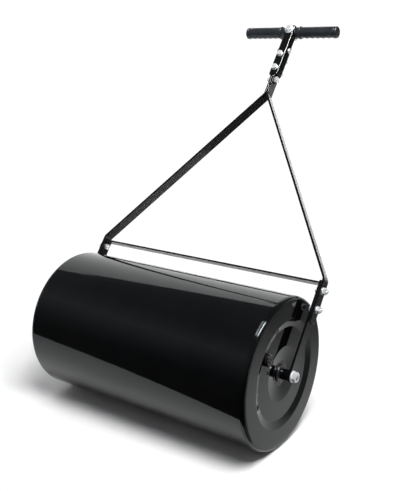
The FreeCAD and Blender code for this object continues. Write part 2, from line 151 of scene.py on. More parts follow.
def rounded(corners, steps=6, closed=True):
    """A 2-D outline with its corners rounded. Each corner is (a, b, radius)."""
    count = len(corners)
    line = []
    for n, (a, b, radius) in enumerate(corners):
        at = Vector((a, b))
        if radius <= 0 or (not closed and n in (0, count - 1)):
            line.append(at)
            continue
        before = Vector(corners[n - 1][:2])
        after = Vector(corners[(n + 1) % count][:2])
        back = (before - at).normalized()
        on = (after - at).normalized()
        half = back.angle(on) / 2
        reach = min(radius / tan(half), (before - at).length * 0.499, (after - at).length * 0.499)
        radius = reach * tan(half)
        centre = at + (back + on).normalized() * (radius / sin(half))
        start = at + back * reach - centre
        turn = pi - 2 * half
        if start.x * (at + on * reach - centre).y - start.y * (at + on * reach - centre).x < 0:
            turn = -turn
        for step in range(steps + 1):
            angle = turn * step / steps
            line.append(centre + Vector((
                start.x * cos(angle) - start.y * sin(angle),
                start.x * sin(angle) + start.y * cos(angle))))
    return [(p.x, p.y) for p in line]


def lathe(profile, segments=96, closed=True, dent=None):
    """Turns (x, radius) points about the X axis.

    dent(x, radius, angle) is how far a point moves towards the axis.
    """
    shape = Shape()
    points = []
    count = len(profile)
    for step in range(segments):
        angle = tau * step / segments
        for x, radius in profile:
            r = radius - (dent(x, radius, angle) if dent else 0)
            points.append((x, r * cos(angle), r * sin(angle)))
    faces = []
    for step in range(segments):
        here = step * count
        there = (step + 1) % segments * count
        for n in range(count if closed else count - 1):
            m = (n + 1) % count
            faces.append((here + n, here + m, there + m, there + n))
    return shape.add(points, faces)


def ring_faces(rings, count):
    """Faces that join each ring of count points to the next."""
    faces = []
    for here in range(0, (rings - 1) * count, count):
        for n in range(count):
            m = (n + 1) % count
            faces.append((here + n, here + m, here + count + m, here + count + n))
    return faces


def end_caps(count, total):
    """Flat faces over the first and the last ring of total points."""
    return [list(range(count)), list(range(total - count, total))]


def dense(profile, longest, closed=True):
    """The same line with points added, so that no side is longer than longest."""
    line = []
    sides = list(zip(profile, profile[1:] + profile[:1])) if closed else list(zip(profile, profile[1:]))
    for (a, b), (c, d) in sides:
        steps = max(1, ceil(hypot(c - a, d - b) / longest))
        line += [(a + (c - a) * n / steps, b + (d - b) * n / steps) for n in range(steps)]
    return line if closed else line + [profile[-1]]


def inset(outline, distance):
    """A convex closed outline moved inwards."""
    count = len(outline)
    area = sum(a[0] * b[1] - b[0] * a[1] for a, b in zip(outline, outline[1:] + outline[:1]))
    side = 1 if area > 0 else -1
    moved = []
    for n, (a, b) in enumerate(outline):
        before, after = outline[n - 1], outline[(n + 1) % count]
        one = Vector((a - before[0], b - before[1]))
        two = Vector((after[0] - a, after[1] - b))
        along = (one.normalized() + two.normalized()).normalized()
        normal = Vector((-along.y, along.x)) * side
        widen = max(0.5, (normal.x * -one.normalized().y + normal.y * one.normalized().x) * side)
        moved.append((a + normal.x * distance / widen, b + normal.y * distance / widen))
    return moved


EDGE_STEPS = ((0.0, 1.0), (0.13, 0.5), (0.5, 0.13), (1.0, 0.0))


def plate(outline, low, high, edge):
    """A flat plate with rounded edges: an outline in the YZ plane between two places along X."""
    rings = [(low + edge * along, edge * inwards) for along, inwards in EDGE_STEPS]
    rings += [(high - edge * along, edge * inwards) for along, inwards in EDGE_STEPS[::-1]]
    count = len(outline)
    points = []
    for x, inwards in rings:
        points += [(x, a, b) for a, b in inset(outline, inwards)]
    faces = end_caps(count, len(points)) + ring_faces(len(rings), count)
    return Shape().add(points, faces)


def bent_bar(path, thickness, width, edge, middle_y=0.0):
    """Flat bar standing on edge along a path of (x, z) points, with rounded long edges and ends."""
    section = rounded([(s * thickness / 2, t * width / 2, edge) for s,
                       t in ((-1, -1), (1, -1), (1, 1), (-1, 1))], 4)
    path = [Vector(p) for p in path]
    stations = []
    for n, at in enumerate(path):
        ahead = path[min(n + 1, len(path) - 1)] - path[max(n - 1, 0)]
        stations.append((at, ahead.normalized(), 0.0))
    start, end = stations[0], stations[-1]
    first = [(start[0] + start[1] * edge * along, start[1], edge * inwards) for along, inwards in EDGE_STEPS]
    last = [(end[0] - end[1] * edge * along, end[1], edge * inwards) for along, inwards in EDGE_STEPS[::-1]]
    stations = first + stations[1:-1] + last
    count = len(section)
    points = []
    for at, along, inwards in stations:
        across = Vector((along.y, -along.x))
        for s, t in inset(section, inwards) if inwards else section:
            spot = at + across * s
            points.append((spot.x, middle_y + t, spot.y))
    faces = end_caps(count, len(points)) + ring_faces(len(stations), count)
    return Shape().add(points, faces)


def hexagon_nut(flats, height, bore, segments=96):
    """Hex nut or, with no bore, hex head, from x = 0 to height, with chamfered corners on both faces."""
    flat_r = flats / 2
    face_r = flat_r * 0.95
    rings = []

    def hexed(angle):
        return flat_r / cos((angle % (pi / 3)) - pi / 6)

    def drop(angle):
        return (hexed(angle) - face_r) * tan(radians(30))

    inner = [] if bore is None else [(height / 2, bore), (height - 0.7, bore), (height, bore + 0.7)]
    for x, r in inner:
        rings.append([(x, r)] * segments)
    rings.append([(height, face_r)] * segments)
    rings.append([(height - drop(tau * n / segments), hexed(tau * n / segments)) for n in range(segments)])
    rings.append([(drop(tau * n / segments), hexed(tau * n / segments)) for n in range(segments)])
    rings.append([(0, face_r)] * segments)
    for x, r in [(height - x, r) for x, r in inner[::-1]]:
        rings.append([(x, r)] * segments)
    points = []
    for ring in rings:
        for n, (x, r) in enumerate(ring):
            angle = tau * n / segments
            points.append((x, r * cos(angle), r * sin(angle)))
    faces = ring_faces(len(rings), segments)
    if bore is None:
        faces += end_caps(segments, len(points))
    return Shape().add(points, faces)


def thread(radius, pitch, low, high, segments=40):
    """Threaded rod between two places along X, with a chamfered far end."""
    steps = max(4, ceil((high - low) / pitch * 8))
    points = []
    for step in range(steps + 1):
        x = low + (high - low) * step / steps
        limit = radius - max(0.0, x - (high - pitch * 0.9))
        for n in range(segments):
            phase = (x / pitch - n / segments) % 1
            depth = 0.55 * pitch * min(1, abs(phase - 0.5) * 2.4)
            r = max(min(radius - depth, limit), radius * 0.5)
            angle = tau * n / segments
            points.append((x, r * cos(angle), r * sin(angle)))
    faces = ring_faces(steps + 1, segments) + end_caps(segments, len(points))
    return Shape().add(points, faces)


def tube_shape(outer, inner, low, high, edge, segments=64):
    """A ring or sleeve about X with rounded edges."""
    corners = [(low, inner, edge / 2), (low, outer, edge), (high, outer, edge), (high, inner, edge / 2)]
    return lathe(rounded(corners, 3), segments)


def along(direction, at=(0, 0, 0), turn=0.0):
    """Moves a shape made along +X to a place, pointing in a direction."""
    turned = Vector(direction).to_track_quat("X", "Z").to_matrix().to_4x4()
    return Matrix.Translation(Vector(at)) @ turned @ Matrix.Rotation(turn, 4, "X")


MIRROR = Matrix.Scale(-1, 4, (1, 0, 0))
SIDES = (("right", Matrix.Identity(4)), ("left", MIRROR))


# ---------------------------------------------------------------- materials

def add_node(tree, kind, values=(), links=()):
    """A new shader node with input values, and with other nodes' outputs linked into its inputs."""
    node = tree.nodes.new("ShaderNode" + kind)
    for name, value in dict(values).items():
        node.inputs[name].default_value = value
    for name, output in dict(links).items():
        tree.links.new(output, node.inputs[name])
    return node


class Paint:
    """A node material under construction, with the few node patterns that the materials below share."""

    def __init__(self, name, base, roughness, metallic=0.0, ior=1.5):
        self.material = bpy.data.materials.new(name)
        self.material.use_nodes = True
        self.tree = self.material.node_tree
        self.shader = self.tree.nodes["Principled BSDF"]
        self.shader.inputs["Base Color"].default_value = (*base, 1)
        self.shader.inputs["Metallic"].default_value = metallic
        self.shader.inputs["Roughness"].default_value = roughness
        self.shader.inputs["IOR"].default_value = ior
        self.place = add_node(self.tree, "TexCoord").outputs["Object"]
        self.normal = None

    def link(self, start, end):
        self.tree.links.new(start, end)

    def scaled(self, size_mm, stretch=(1, 1, 1)):
        """The object's own coordinates, counted in steps of size_mm."""
        scale = [1 / (size_mm * MM * s) for s in stretch]
        return add_node(self.tree, "Mapping", {"Scale": scale}, {"Vector": self.place}).outputs["Vector"]

    def noise(self, size_mm, detail=2.0, stretch=(1, 1, 1)):
        """Noise whose features are about size_mm across."""
        node = add_node(self.tree, "TexNoise", {"Scale": 1.0, "Detail": detail},
                        {"Vector": self.scaled(size_mm, stretch)})
        return node.outputs["Fac"]

    def cells(self, size_mm):
        """Rounded cells about size_mm across."""
        node = add_node(self.tree, "TexVoronoi", {"Scale": 1.0}, {"Vector": self.scaled(size_mm)})
        return node.outputs["Distance"]

    def ranged(self, value, low, high):
        """A pattern's middle range spread from low to high."""
        node = add_node(self.tree, "MapRange",
                        {"From Min": 0.3, "From Max": 0.7, "To Min": low, "To Max": high}, {"Value": value})
        return node.outputs["Result"]

    def tint(self, value, low, high):
        """Base colour between two colours, by a pattern."""
        node = self.tree.nodes.new("ShaderNodeMix")
        node.data_type = "RGBA"
        node.inputs[6].default_value = (*low, 1)
        node.inputs[7].default_value = (*high, 1)
        self.link(self.ranged(value, 0, 1), node.inputs[0])
        self.link(node.outputs[2], self.shader.inputs["Base Color"])

    def gloss(self, value, low, high):
        """Roughness between two values, by a pattern."""
        self.link(self.ranged(value, low, high), self.shader.inputs["Roughness"])

    def bump(self, value, height_mm, strength=1.0):
        """Fine relief, on top of what is there already."""
        node = add_node(self.tree, "Bump", {"Distance": height_mm * MM, "Strength": strength},
                        {"Height": value})
        if self.normal is not None:
            self.link(self.normal, node.inputs["Normal"])
        self.normal = node.outputs["Normal"]
        self.link(self.normal, self.shader.inputs["Normal"])


def black_paint(name, ior):
    """Gloss black enamel on sheet steel: slight orange peel, long waves, faint haze and dust."""
    paint = Paint(name, (0.0016, 0.0017, 0.0020), 0.06, ior=ior)
    paint.shader.inputs["Specular Tint"].default_value = (0.93, 1.0, 1.0, 1)
    paint.tint(paint.noise(60, 4), (0.0011, 0.0012, 0.0015), (0.0021, 0.0022, 0.0024))
    paint.gloss(paint.noise(35, 5), 0.045, 0.085)
    paint.bump(paint.noise(2.2, 1), 0.0035)
    paint.bump(paint.noise(28, 0), 0.05)
    return paint.material


def frame_paint():
    """The same enamel on flat bar, a little thicker and rougher, with small runs and specks."""
    paint = Paint("black_bar_enamel", (0.002, 0.0021, 0.0024), 0.1, ior=1.42)
    paint.tint(paint.noise(9, 4), (0.0013, 0.0015, 0.0018), (0.0032, 0.0034, 0.0036))
    paint.gloss(paint.noise(12, 5), 0.08, 0.16)
    paint.bump(paint.noise(1.6, 2), 0.006)
    paint.bump(paint.noise(14, 1), 0.05)
    return paint.material


def zinc_plate():
    """Bright zinc plating: clear bluish white, a little cloudy."""
    metal = Paint("bright_zinc", (0.85, 0.86, 0.87), 0.3, metallic=0.6)
    metal.tint(metal.noise(4, 5), (0.78, 0.80, 0.83), (0.93, 0.93, 0.92))
    metal.gloss(metal.noise(2.5, 6), 0.22, 0.42)
    metal.bump(metal.noise(0.5, 3), 0.004)
    return metal.material


def drawn_steel():
    """Cold drawn bar, with fine lines along it."""
    metal = Paint("drawn_bar_steel", (0.5, 0.5, 0.51), 0.3, metallic=1.0)
    lines = metal.noise(0.5, 3, stretch=(60, 1, 1))
    metal.tint(metal.noise(8, 5), (0.40, 0.40, 0.40), (0.56, 0.56, 0.57))
    metal.gloss(lines, 0.22, 0.38)
    metal.bump(lines, 0.004)
    return metal.material


def grip_plastic():
    """Satin blue-black soft PVC with a fine moulded grain."""
    plastic = Paint("grip_pvc", (0.013, 0.016, 0.020), 0.33, ior=1.5)
    plastic.tint(plastic.noise(14, 4), (0.0100, 0.0130, 0.0165), (0.0160, 0.0195, 0.0235))
    plastic.gloss(plastic.noise(6, 5), 0.26, 0.40)
    plastic.bump(plastic.cells(0.7), 0.02, 0.6)
    plastic.bump(plastic.noise(9, 1), 0.05)
    return plastic.material


def bearing_plastic():
    """Black nylon with a faint machined sheen."""
    plastic = Paint("bearing_nylon", (0.010, 0.010, 0.011), 0.34)
    plastic.tint(plastic.noise(5, 4), (0.007, 0.007, 0.008), (0.015, 0.015, 0.016))
    plastic.gloss(plastic.noise(3, 4), 0.26, 0.44)
    plastic.bump(plastic.noise(0.4, 2), 0.006)
    return plastic.material


def plug_plastic():
    """Black moulded plastic of the filler plug, shinier than the grips."""
    plastic = Paint("plug_polypropylene", (0.006, 0.006, 0.007), 0.22)
    plastic.tint(plastic.noise(5, 4), (0.004, 0.004, 0.005), (0.009, 0.009, 0.010))
    plastic.gloss(plastic.noise(4, 5), 0.16, 0.30)
    plastic.bump(plastic.noise(0.6, 2), 0.006)
    return plastic.material


def seal_rubber():
    """Matt black rubber."""
    rubber = Paint("seal_epdm", (0.012, 0.012, 0.012), 0.62)
    rubber.tint(rubber.noise(2, 4), (0.009, 0.009, 0.009), (0.018, 0.018, 0.018))
    rubber.gloss(rubber.noise(1.5, 4), 0.5, 0.75)
    rubber.bump(rubber.noise(0.3, 2), 0.01)
    return rubber.material


ENAMEL = black_paint("black_gloss_enamel", 1.42)
DISC_ENAMEL = black_paint("black_disc_enamel", 1.36)
BAR_ENAMEL = frame_paint()
ZINC = zinc_plate()
STEEL = drawn_steel()
GRIP = grip_plastic()
NYLON = bearing_plastic()
PLUG = plug_plastic()
RUBBER = seal_rubber()


# ---------------------------------------------------------------- drum

SHEET = 1.6
SHELL_SEGMENTS = 288
SEAM_AT = radians(118)        # the shell's weld, at the back and low down
SEAM_WIDTH = radians(1.6)


def shell_dent(x, radius, angle):
    """How far the rolled sheet lies inside its true cylinder: long shallow waves, and a proud seam."""
    if radius < 150:
        return 0.0
    wave = noise.noise(Vector((x / 170, 2.1 * cos(angle), 2.1 * sin(angle))))
    ripple = noise.noise(Vector((x / 60 + 9, 5.0 * cos(angle), 5.0 * sin(angle))))
    away = (angle - SEAM_AT + pi) % tau - pi
    seam = 0.16 * max(0.0, cos(min(1.0, abs(away) / SEAM_WIDTH) * pi / 2))
    return 0.30 + 0.10 * wave + 0.035 * ripple - seam


def drum_shell():
    """Rolled sheet with both edges folded in over the end discs."""
    high = extent("drum_shell", DRUM)[1]
    half, outer = high.x, high.z
    hem, fold = 9.0, 2.6
    right_end = [(half, outer, 2.5), (half, outer - fold, 0.9), (half - hem, outer - fold, 0.3),
                 (half - hem, outer - SHEET, 0)]
    left_end = [(-x, r, rounding) for x, r, rounding in right_end[::-1]]
    profile = dense(rounded(right_end + left_end, 5), 9)
    shape = lathe(profile, SHELL_SEGMENTS, dent=shell_dent)
    make_piece("drum_shell_skin", shape, DRUM, "drum", ENAMEL, ["drum_shell"])


def disc_profile(face, skirt_r):
    """Outer surface of the pressed end disc, from the skirt to the axle tube, as (x, radius, rounding)."""
    return [
        (face - 18, skirt_r, 0), (face, skirt_r, 5.0), (face, 114, 3.5), (face - 5.5, 98, 3.5),
        (face - 5.5, 58, 3.5), (face - 11, 27, 3.5), (face - 11, 17, 0),
    ]


def offset_line(line, distance):
    """An open line moved sideways."""
    moved = []
    for n, (a, b) in enumerate(line):
        before = Vector(line[max(n - 1, 0)])
        after = Vector(line[min(n + 1, len(line) - 1)])
        side = (after - before).normalized()
        moved.append((a + side.y * distance, b - side.x * distance))
    return moved


def pressed_disc():
    """The right end disc, with slight press marks."""
    high = extent("end_disc_right", DRUM)[1]
    skirt_r = high.z
    outside = dense(rounded(disc_profile(high.x, skirt_r), 7, closed=False), 6, closed=False)
    inside = offset_line(outside, -SHEET)
    inside = [(x, max(r, 17.0)) for x, r in inside]

    def dent(x, radius, angle):
        if radius > 150:
            return 0.0
        return 0.12 * noise.noise(Vector((x / 30, radius / 26 * cos(angle), radius / 26 * sin(angle))))

    return lathe(outside + inside[::-1], 240, dent=dent)


def cut_hole(obj, at, radius, depth):
    """Drills a round hole along X through a finished object. at and radius are in metres."""
    around = 72
    points = []
    for x in (-depth, depth):
        for n in range(around):
            angle = tau * n / around
            points.append(Vector((x, radius * cos(angle), radius * sin(angle))))
    faces = [(n, (n + 1) % around, around + (n + 1) % around, around + n) for n in range(around)]
    faces += [list(range(around))[::-1], list(range(around, 2 * around))]
    mesh = bpy.data.meshes.new("cutter")
    mesh.from_pydata([p + at for p in points], [], faces)
    tool = bpy.data.objects.new("cutter", mesh)
    bpy.context.scene.collection.objects.link(tool)
    drill = obj.modifiers.new("drill", "BOOLEAN")
    drill.object = tool
    drill.solver = "EXACT"
    bpy.context.view_layer.update()
    cut = bpy.data.meshes.new_from_object(obj.evaluated_get(bpy.context.evaluated_depsgraph_get()))
    obj.modifiers.clear()
    obj.data = cut
    bpy.data.objects.remove(tool)


def end_discs():
    """Both end discs, the right one with a hole for the filler."""
    disc = pressed_disc()
    skins = {}
    for side, turn in SIDES:
        skins[side] = make_piece("end_disc_skin_" + side, Shape().put(disc, turn), DRUM, "drum",
                                 DISC_ENAMEL, ["end_disc_" + side], weighted=False)
    low, high = extent("filler_neck", DRUM)
    cut_hole(skins["right"], middle("filler_neck"), ((high.z - low.z) / 2 - 0.4) * MM, 0.012)


def weld_ring(radius, x, width, ripples, seed):
    """Rippled fillet weld round a tube that stands on a flat plate."""
    points, faces = [], []
    steps, around = ripples * 6, 8
    for step in range(steps):
        angle = tau * step / steps
        grain = noise.noise(Vector((cos(angle) * 4, sin(angle) * 4, seed)))
        wobble = 1 + 0.12 * sin(angle * ripples) + 0.10 * grain
        for n in range(around):
            turn = tau * n / around
            r = radius + width * 0.35 * wobble * cos(turn)
            points.append((x + width * 0.35 * wobble * sin(turn), r * cos(angle), r * sin(angle)))
    for step in range(steps):
        for n in range(around):
            m, after = (n + 1) % around, (step + 1) % steps
            faces.append((step * around + n, step * around + m, after * around + m, after * around + n))
    return Shape().add(points, faces)


def bushes():
    """Flanged bearings: a rounded flange with a small chamfer at the mouth of its bore."""
    for side, turn in SIDES:
        low, high = extent("bush_right", DRUM)
        end, flange = high.x, 3.0
        corners = [
            (low.x, 14.4, 0.4), (low.x, 8.06, 0.4), (end - 0.5, 8.06, 0.3), (end, 9.2, 0.3),
            (end, high.z, 1.2), (end - flange, high.z, 0.3), (end - flange, 14.4, 0.2),
        ]
        shape = Shape().put(lathe(rounded(corners, 4), 96), turn)
        make_piece("bush_moulding_" + side, shape, DRUM, "drum", NYLON, ["bush_" + side])


def filler_place():
    """Where the filler stands on the end disc."""
    at = (middle("filler_neck") - AXLE) / MM
    return DRUM @ Matrix.Translation((0, at.y, at.z))


def filler_neck():
    """Threaded ring welded into the end disc."""
    place = filler_place()
    low, high = extent("filler_neck", DRUM)
    outer = (high.z - low.z) / 2
    bore, pitch = 11.0, 1.5
    corners = [(low.x, outer, 0.4), (high.x, outer, 0.9), (high.x, bore + 0.9, 0.3)]
    x = high.x - 0.9
    while x - pitch > low.x + 0.5:
        corners += [(x, bore, 0.08), (x - pitch / 2, bore + 0.8, 0.08)]
        x -= pitch
    corners += [(low.x, bore + 0.5, 0.3)]
    shape = lathe(rounded(corners, 3), 96)
    shape.put(weld_ring(outer, high.x - 1.7, 2.4, 22, 3.0))
    make_piece("filler_neck_ring", shape, place, "drum", ENAMEL, ["filler_neck"])


def filler_seal():
    """Rubber ring under the plug's head."""
    low, high = extent("filler_seal", DRUM)
    outer = (high.z - low.z) / 2
    corners = [(low.x, 11.1, 0.5), (low.x, outer, 0.55), (high.x, outer, 0.55), (high.x, 11.1, 0.5)]
    ring = lathe(rounded(corners, 5), 80)
    make_piece("filler_seal_ring", ring, filler_place(), "filler_plug", RUBBER,
               ["filler_seal"])


def filler_plug():
    """Screw plug: fluted head, raised bar, sunken rim line and a threaded spigot."""
    low, high = extent("filler_plug", DRUM)
    seal_top = extent("filler_seal", DRUM)[1].x
    head_r = (high.z - low.z) / 2
    top = high.x - 2.0
    flutes, flute_r = 12, 1.3

    def dent(x, radius, angle):
        if x < seal_top - 0.05 or radius < head_r - 2.5:
            return 0.0
        away = (angle / tau * flutes + 0.5) % 1 - 0.5
        sideways = away * tau / flutes * head_r
        hollow = max(0.0, sqrt_or_zero(flute_r ** 2 - sideways ** 2) - flute_r / 3)
        return hollow * (radius - head_r + 2.5) / 2.5

    rim = head_r - 3.2
    corners = [(seal_top, 2.0, 0), (seal_top, head_r, 0.4), (top, head_r, 1.5), (top, rim, 0.3),
               (top - 0.7, rim - 0.7, 0.3), (top - 0.7, rim - 1.3, 0.3), (top, rim - 2.0, 0.3),
               (top, 2.0, 0)]
    head = lathe(dense(rounded(corners, 5), 1.2), 288, dent=dent)
    bar = rounded([(-7.4, -2.5, 2.4), (7.4, -2.5, 2.4), (7.4, 2.5, 2.4), (-7.4, 2.5, 2.4)], 6)
    head.put(plate(bar, top - 1.4, high.x, 0.7))
    spigot = [(low.x, 5.0, 0), (low.x, 10.2, 0.5)]
    x = low.x + 0.9
    while x + 1.5 < seal_top - 0.2:
        spigot += [(x, 10.2, 0.1), (x + 0.75, 10.94, 0.1)]
        x += 1.5
    spigot += [(seal_top + 0.4, 10.2, 0.1), (seal_top + 0.4, 5.0, 0)]
    head.put(lathe(rounded(spigot, 3), 96))
    make_piece("filler_plug_moulding", head, filler_place(), "filler_plug", PLUG,
               ["filler_plug"])


def sqrt_or_zero(value):
    """Square root, or zero for what rounding has made negative."""
    return value ** 0.5 if value > 0 else 0.0


def axle_tube():
    """Inner tube that keeps the ballast off the axle, with a weld against each end disc."""
    low, high = extent("axle_tube", DRUM)
    outer = high.z
    shape = tube_shape(outer, outer - 2.5, low.x, high.x, 0.5, 96)
    inner_face = extent("end_disc_right", DRUM)[1].x - 11 - SHEET
    bead = weld_ring(outer, inner_face - 0.9, 4.0, 26, 7.0)
    shape.put(bead).put(bead, MIRROR)
    make_piece("axle_tube_steel", shape, DRUM, "drum", ENAMEL, ["axle_tube"])


# ---------------------------------------------------------------- axle

def axle():
    """Through axle, its spacers, and its nuts and washers."""
    shank, flats, _, nut_height, pitch = M12
    rod_end = extent("axle_rod", SLOPE)[1].x
    arm_in = extent("lower_arm_right", SLOPE)[0].x
    nut_in = extent("axle_nuts", SLOPE)[1].x - nut_height
    corners = [(-arm_in, 0.01, 0), (-arm_in, 8.0, 0.6), (arm_in, 8.0, 0.6), (arm_in, 0.01, 0)]
    shape = lathe(dense(rounded(corners, 4), 40), 64)
    end = thread(shank, pitch, arm_in - 1, rod_end, 48)
    shape.put(end).put(end, MIRROR)
    make_piece("axle_bar", shape, SLOPE, "frame", STEEL, ["axle_rod"])

    for side, turn in SIDES:
        low, high = extent("axle_spacer_right", SLOPE)
        spacer = Shape().put(tube_shape(high.z, 8.2, low.x, high.x, 0.7, 80), turn)
        painted_piece("axle_spacer_tube_" + side, spacer, "axle_spacer_" + side)

    washer = tube_shape(12.0, 6.3, nut_in - 2, nut_in, 0.35, 80)
    make_piece("axle_washer_pair", Shape().put(washer).put(washer, MIRROR), SLOPE, "frame",
               ZINC, ["axle_washers"])
    turned = Matrix.Translation((nut_in, 0, 0)) @ Matrix.Rotation(0.62, 4, "X")
    nut = Shape().put(hexagon_nut(flats, nut_height, 5.4), turned)
    zinc_piece("axle_nut_pair", Shape().put(nut).put(nut, MIRROR), "axle_nuts")


# ---------------------------------------------------------------- frame

STRIP = 25.0
STRIP_T = 5.0
STRIP_EDGE_R = 0.9
KNEE_AT = 212.5               # where the upper bars turn inwards, up the slope from the axle
APEX_AT = 653.0               # where they meet
SPREAD_FROM = 709.0           # where they part again, inside the bracket
SPREAD_TO = 720.0
BEND_R = 14.0
M8 = (4.0, 13.0, 5.3, 6.8, 1.25)      # shank radius, across flats, head height, nut height, thread pitch
M10 = (5.0, 16.0, 6.4, 8.0, 1.5)
M12 = (6.0, 19.0, 7.5, 9.0, 1.75)
M8_WASHER = (8.0, 4.3, 1.6)           # outer radius, bore radius, thickness


def painted_piece(name, shape, node):
    """A black piece of the frame, made in the frame's own coordinates."""
    make_piece(name, shape, SLOPE, "frame", BAR_ENAMEL, [node])


def lower_arms():
    """Flat bar with a round eye at the axle and square, lightly broken edges."""
    low, high = extent("lower_arm_right", SLOPE)
    eye_r = (high.y - low.y) / 2
    outline = [(eye_r * cos(pi * n / 24), -eye_r * sin(pi * n / 24)) for n in range(25)]
    outline += rounded([(-eye_r, 0, 0), (-eye_r, high.z, 1.5), (eye_r, high.z, 1.5), (eye_r, 0, 0)], 4)[1:-1]
    arm = plate(outline, low.x, high.x, STRIP_EDGE_R)
    for side, turn in SIDES:
        painted_piece("lower_arm_bar_" + side, Shape().put(arm, turn), "lower_arm_" + side)


def upper_bars():
    """Flat bar bent at the knee and at the apex, then up the column and into the bracket."""
    low, high = extent("upper_bar_right", SLOPE)
    outer = high.x - STRIP_T / 2
    column = low.x + STRIP_T / 2
    top_x = column + 4.3
    corners = [
        (outer, low.z, 0), (outer, KNEE_AT, BEND_R), (column, APEX_AT, BEND_R), (column, SPREAD_FROM,
                                                                                 BEND_R),
        (top_x, SPREAD_TO, BEND_R), (top_x, high.z, 0),
    ]
    bar = bent_bar(rounded(corners, 8, closed=False), STRIP_T, STRIP, STRIP_EDGE_R)
    for side, turn in SIDES:
        painted_piece("upper_bar_bent_" + side, Shape().put(bar, turn), "upper_bar_" + side)


def crossbar():
    """Flat tie bar between the arms."""
    low, high = extent("crossbar", SLOPE)
    edge = 0.7
    outline = rounded([(low.y, low.z, edge), (high.y, low.z, edge), (high.y, high.z, edge),
                       (low.y, high.z, edge)], 4)
    painted_piece("crossbar_flat", plate(outline, low.x, high.x, 0.4), "crossbar")


def weld_bead(length, width, ripples, seed):
    """Straight rippled fillet weld along X, quarter round towards -Y and -Z."""
    steps, around = ripples * 6, 9
    points = []
    for step in range(steps + 1):
        t = step / steps
        ends = min(1, min(t, 1 - t) * 12) ** 0.5
        grain = noise.noise(Vector((t * 9, seed, 0)))
        r = width * (0.86 + 0.07 * sin(t * ripples * tau) + 0.07 * grain) * max(ends, 0.2)
        points.append(((t - 0.5) * length, 0.4, 0.4))
        for n in range(around):
            turn = pi + pi / 2 * n / (around - 1)
            points.append(((t - 0.5) * length, r * cos(turn), r * sin(turn)))
    ring = around + 1
    faces = ring_faces(steps + 1, ring) + end_caps(ring, len(points))
    return Shape().add(points, faces)


def crossbar_welds():
    """Fillet welds under the crossbar's ends, at the lower arms."""
    low, high = extent("crossbar_welds", SLOPE)
    bead = weld_bead(high.y - low.y, 3.0, 9, 1.0)
    turn = Matrix(((0, 1, 0, high.x), (1, 0, 0, 0), (0, 0, 1, high.z), (0, 0, 0, 1)))
    shape = Shape().put(bead, turn)
    painted_piece("crossbar_weld_beads", Shape().put(shape).put(shape, MIRROR), "crossbar_welds")


# ---------------------------------------------------------------- fasteners

def bolt(size, length, turn=0.0):
    """Hex bolt along +X: the underside of its head is at x = 0, and its shank goes to length."""
    shank, flats, head, _, pitch = size
    shape = Shape().put(hexagon_nut(flats, head, None),
                        Matrix.Rotation(turn, 4, "X") @ Matrix.Translation((-head, 0, 0)))
    plain = length * 0.35
    shape.put(lathe([(-0.2, 0.01), (-0.2, shank * 0.97), (plain, shank * 0.97), (plain, 0.01)], 40))
    return shape.put(thread(shank, pitch, plain - 0.5, length, 40))


def nut(size, turn=0.0):
    """Hex nut from x = 0."""
    shank, flats, _, height, _ = size
    return Shape().put(hexagon_nut(flats, height, shank * 0.9), Matrix.Rotation(turn, 4, "X"))


def washer(outer, bore, thickness):
    """Flat ring from x = 0."""
    return tube_shape(outer, bore, 0, thickness, 0.3, 72)


def placed(shape, direction, at):
    """A copy of a shape made along +X, at a place and pointing in a direction."""
    return Shape().put(shape, along(direction, at))


def zinc_piece(name, shape, node):
    """A plated fastener or set of them, made in the frame's own coordinates."""
    make_piece(name, shape, SLOPE, "frame", ZINC, [node], sharp=28)


def arm_fasteners():
    """Two bolts through each overlap of arm and bar, heads inside and nuts outside."""
    bolts, rings, nuts = Shape(), Shape(), Shape()
    arm_in = extent("lower_arm_right", SLOPE)[0].x
    high = extent("arm_bolts", SLOPE)[1]
    ring_in, ring_out = arm_in + 2 * STRIP_T, extent("arm_washers", SLOPE)[1].x
    for n, height in enumerate(levels("arm_nuts")):
        for side in (1, -1):
            toward = (side, 0, 0)
            turn = 0.4 + 1.3 * n + 0.7 * side
            bolts.put(bolt(M8, high.x - arm_in, turn), along(toward, (side * arm_in, 0, height)))
            rings.put(washer(8.0, 4.3, ring_out - ring_in), along(toward, (side * ring_in, 0, height)))
            nuts.put(nut(M8, turn + 0.5), along(toward, (side * ring_out, 0, height)))
    zinc_piece("arm_bolt_set", bolts, "arm_bolts")
    zinc_piece("arm_washer_set", rings, "arm_washers")
    zinc_piece("arm_nut_set", nuts, "arm_nuts")


def front_fasteners():
    """Two bolts through the bracket's front, between the strips, with nuts and washers behind them."""
    bolts, rings, nuts = Shape(), Shape(), Shape()
    bracket_front = extent("handle_bracket", SLOPE)[0].y
    strip_back = extent("upper_bar_right", SLOPE)[1].y
    end = extent("front_bolts", SLOPE)[1].y
    thick = M8_WASHER[2]
    for n, height in enumerate(levels("front_nuts")):
        turn = 0.3 + 0.8 * n
        under_head = along((0, 1, 0), (0, bracket_front - thick, height))
        bolts.put(bolt(M8, end - bracket_front + thick, turn), under_head)
        rings.put(washer(*M8_WASHER), under_head)
        rings.put(washer(*M8_WASHER), along((0, 1, 0), (0, strip_back, height)))
        nuts.put(nut(M8, turn + 0.4), along((0, 1, 0), (0, strip_back + thick, height)))
    zinc_piece("front_bolt_set", bolts, "front_bolts")
    zinc_piece("front_washer_set", rings, "front_washers")
    zinc_piece("front_nut_set", nuts, "front_nuts")


def button_head(radius, height):
    """Low domed head from x = 0 to its height."""
    corners = [(0, 0.01, 0), (0, radius, 0.3), (height, radius, height * 0.75), (height, 0.01, 0)]
    return lathe(rounded(corners, 8), 72)


